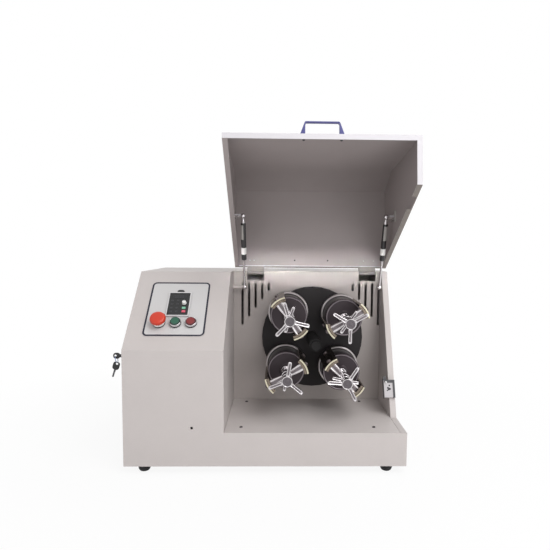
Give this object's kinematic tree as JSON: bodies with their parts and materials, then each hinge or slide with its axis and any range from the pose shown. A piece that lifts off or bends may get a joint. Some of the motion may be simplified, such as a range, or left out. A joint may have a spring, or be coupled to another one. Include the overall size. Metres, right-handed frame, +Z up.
{
  "type": "planetary ball mill",
  "caption": "Bench planetary ball mill: slanted control tower, grinding chamber, a lifting hood on gas struts and clamped jars on a turning disc.",
  "frame": {"origin": "on the ground, below the middle of the machine's bounding box with the hood open", "axes": "+X to the machine's right, +Y to its back, +Z up; the mill's axis lies along Y"},
  "size_m": [0.7222, 0.5478, 0.8339],
  "materials": {
    "cabinet_paint": "satin",
    "hood_paint": "satin",
    "chamber_paint": "satin",
    "zinc_plate": "satin",
    "black_rubber": "matte",
    "panel_overlay": "matte",
    "black_plastic": "satin",
    "white_plastic": "gloss",
    "grey_plastic": "satin",
    "green_plastic": "gloss",
    "red_plastic": "gloss",
    "estop_red": "satin",
    "navy_plastic": "satin",
    "bright_chrome": "polished",
    "black_tube": "satin",
    "dark_steel": "satin",
    "jar_steel": "satin",
    "bracket_steel": "satin",
    "machined_steel": "satin",
    "cast_housing": "matte",
    "motor_paint": "satin"
  },
  "bodies": {
    "cabinet": {"cabinet_shell": "cabinet_paint", "right_side_panel": "cabinet_paint", "rear_cover": "cabinet_paint", "back_wall": "chamber_paint", "chamber_floor": "chamber_paint", "base_plate": "zinc_plate", "foot_front_left": "black_rubber", "foot_front_right": "black_rubber", "foot_rear_left": "black_rubber", "foot_rear_right": "black_rubber", "control_panel": "panel_overlay", "inverter_keypad": "black_plastic", "green_bezel": "bright_chrome", "red_bezel": "bright_chrome", "estop_base": "grey_plastic", "key_lock": "bright_chrome", "interlock_switch": "grey_plastic", "bearing_housing": "cast_housing", "motor": "motor_paint", "drive_belt": "black_rubber"},
    "hood": {"hood_shell": "hood_paint", "hood_handle": "navy_plastic", "hinge_leaf_left": "zinc_plate", "hinge_leaf_right": "zinc_plate"},
    "strut_left_lower": {"strut_rod_left": "bright_chrome"},
    "strut_left_upper": {"strut_cylinder_left": "black_tube"},
    "strut_right_lower": {"strut_rod_right": "bright_chrome"},
    "strut_right_upper": {"strut_cylinder_right": "black_tube"},
    "disc": {"planet_disc": "dark_steel", "main_spindle": "machined_steel"},
    "planet_upper_left": {"planet_cup_upper_left": "bracket_steel", "jar_upper_left": "jar_steel", "jar_lid_upper_left": "jar_steel", "clamp_bar_upper_left": "bright_chrome"},
    "planet_upper_right": {"planet_cup_upper_right": "bracket_steel", "jar_upper_right": "jar_steel", "jar_lid_upper_right": "jar_steel", "clamp_bar_upper_right": "bright_chrome"},
    "planet_lower_left": {"planet_cup_lower_left": "bracket_steel", "jar_lower_left": "jar_steel", "jar_lid_lower_left": "jar_steel", "clamp_bar_lower_left": "bright_chrome"},
    "planet_lower_right": {"planet_cup_lower_right": "bracket_steel", "jar_lower_right": "jar_steel", "jar_lid_lower_right": "jar_steel", "clamp_bar_lower_right": "bright_chrome"},
    "star_upper_left": {"star_screw_upper_left": "bright_chrome"},
    "star_upper_right": {"star_screw_upper_right": "bright_chrome"},
    "star_lower_left": {"star_screw_lower_left": "bright_chrome"},
    "star_lower_right": {"star_screw_lower_right": "bright_chrome"},
    "motor_shaft": {"motor_pulley": "machined_steel"},
    "estop": {"estop_head": "estop_red"},
    "green_push": {"green_button": "green_plastic"},
    "red_push": {"red_button": "red_plastic"},
    "run_push": {"run_key": "green_plastic"},
    "stop_push": {"stop_key": "red_plastic"},
    "knob": {"keypad_knob": "white_plastic"},
    "key": {"lock_key": "black_plastic"},
    "second_key": {"spare_key": "black_plastic"},
    "interlock": {"interlock_plunger": "white_plastic"}
  },
  "joints": [
    {"name": "hood_hinge", "type": "hinge", "parent": "cabinet", "child": "hood", "pos_m": [0.14005, 0.07642, 0.4763], "axis": [1, 0, 0], "range_deg": [0, 96.3]},
    {"name": "strut_left_pivot", "type": "hinge", "parent": "cabinet", "child": "strut_left_lower", "pos_m": [-0.05045, 0.05192, 0.4365], "axis": [1, 0, 0], "range_deg": [0, 101.3]},
    {"name": "strut_left_slide", "type": "slide", "parent": "strut_left_lower", "child": "strut_left_upper", "axis": [0, -0.3481, 0.9374], "range_m": [-0.0681, 0]},
    {"name": "strut_right_pivot", "type": "hinge", "parent": "cabinet", "child": "strut_right_lower", "pos_m": [0.33655, 0.05192, 0.4365], "axis": [1, 0, 0], "range_deg": [0, 101.3]},
    {"name": "strut_right_slide", "type": "slide", "parent": "strut_right_lower", "child": "strut_right_upper", "axis": [0, -0.3481, 0.9374], "range_m": [-0.0681, 0]},
    {"name": "disc_spin", "type": "hinge", "parent": "cabinet", "child": "disc", "pos_m": [0.14535, 0.05592, 0.2922], "axis": [0, 1, 0], "continuous": true},
    {"name": "planet_upper_left_spin", "type": "hinge", "parent": "disc", "child": "planet_upper_left", "pos_m": [0.07401, 0.05592, 0.36924], "axis": [0, 1, 0], "continuous": true},
    {"name": "planet_upper_right_spin", "type": "hinge", "parent": "disc", "child": "planet_upper_right", "pos_m": [0.22239, 0.05592, 0.36354], "axis": [0, 1, 0], "continuous": true},
    {"name": "planet_lower_left_spin", "type": "hinge", "parent": "disc", "child": "planet_lower_left", "pos_m": [0.06831, 0.05592, 0.22086], "axis": [0, 1, 0], "continuous": true},
    {"name": "planet_lower_right_spin", "type": "hinge", "parent": "disc", "child": "planet_lower_right", "pos_m": [0.21669, 0.05592, 0.21516], "axis": [0, 1, 0], "continuous": true},
    {"name": "motor_spin", "type": "hinge", "parent": "cabinet", "child": "motor_shaft", "pos_m": [-0.19495, 0.18192, 0.138], "axis": [0, 1, 0], "continuous": true},
    {"name": "star_upper_left_turn", "type": "hinge", "parent": "planet_upper_left", "child": "star_upper_left", "pos_m": [0.07401, -0.15408, 0.36924], "axis": [0, -1, 0], "range_deg": [0, 720]},
    {"name": "star_upper_right_turn", "type": "hinge", "parent": "planet_upper_right", "child": "star_upper_right", "pos_m": [0.22239, -0.15408, 0.36354], "axis": [0, -1, 0], "range_deg": [0, 720]},
    {"name": "star_lower_left_turn", "type": "hinge", "parent": "planet_lower_left", "child": "star_lower_left", "pos_m": [0.06831, -0.15408, 0.22086], "axis": [0, -1, 0], "range_deg": [0, 720]},
    {"name": "star_lower_right_turn", "type": "hinge", "parent": "planet_lower_right", "child": "star_lower_right", "pos_m": [0.21669, -0.15408, 0.21516], "axis": [0, -1, 0], "range_deg": [0, 720]},
    {"name": "estop_press", "type": "slide", "parent": "cabinet", "child": "estop", "axis": [0, 0.6915, -0.7224], "range_m": [0, 0.005]},
    {"name": "green_button_press", "type": "slide", "parent": "cabinet", "child": "green_push", "axis": [0, 0.6915, -0.7224], "range_m": [0, 0.004], "stiffness_N_per_m": 300, "springref_m": -0.001},
    {"name": "red_button_press", "type": "slide", "parent": "cabinet", "child": "red_push", "axis": [0, 0.6915, -0.7224], "range_m": [0, 0.004], "stiffness_N_per_m": 300, "springref_m": -0.001},
    {"name": "run_key_press", "type": "slide", "parent": "cabinet", "child": "run_push", "axis": [0, 0.6915, -0.7224], "range_m": [0, 0.0012], "stiffness_N_per_m": 300, "springref_m": -0.0005},
    {"name": "stop_key_press", "type": "slide", "parent": "cabinet", "child": "stop_push", "axis": [0, 0.6915, -0.7224], "range_m": [0, 0.0012], "stiffness_N_per_m": 300, "springref_m": -0.0005},
    {"name": "knob_turn", "type": "hinge", "parent": "cabinet", "child": "knob", "pos_m": [-0.19395, -0.10278, 0.40188], "axis": [0, -0.6915, 0.7224], "range_deg": [-150, 150]},
    {"name": "key_turn", "type": "hinge", "parent": "cabinet", "child": "key", "pos_m": [-0.32895, -0.16608, 0.282], "axis": [-1, 0, 0], "range_deg": [0, 90]},
    {"name": "second_key_swing", "type": "hinge", "parent": "key", "child": "second_key", "pos_m": [-0.35115, -0.16608, 0.2804], "axis": [0, 1, 0], "range_deg": [-15, 15]},
    {"name": "interlock_press", "type": "slide", "parent": "cabinet", "child": "interlock", "axis": [0, 0.9243, -0.3817], "range_m": [0, 0.003], "stiffness_N_per_m": 300, "springref_m": -0.001}
  ],
  "couplings": [
    {"joint": "strut_left_pivot", "follows": "hood_hinge", "ratio": 1.0514},
    {"joint": "strut_left_slide", "follows": "hood_hinge", "m_per_rad": -0.040464},
    {"joint": "strut_right_pivot", "follows": "hood_hinge", "ratio": 1.0514},
    {"joint": "strut_right_slide", "follows": "hood_hinge", "m_per_rad": -0.040464},
    {"joint": "planet_upper_left_spin", "follows": "disc_spin", "ratio": 2},
    {"joint": "planet_upper_right_spin", "follows": "disc_spin", "ratio": 2},
    {"joint": "planet_lower_left_spin", "follows": "disc_spin", "ratio": 2},
    {"joint": "planet_lower_right_spin", "follows": "disc_spin", "ratio": 2},
    {"joint": "motor_spin", "follows": "disc_spin", "ratio": 3.1429}
  ]
}
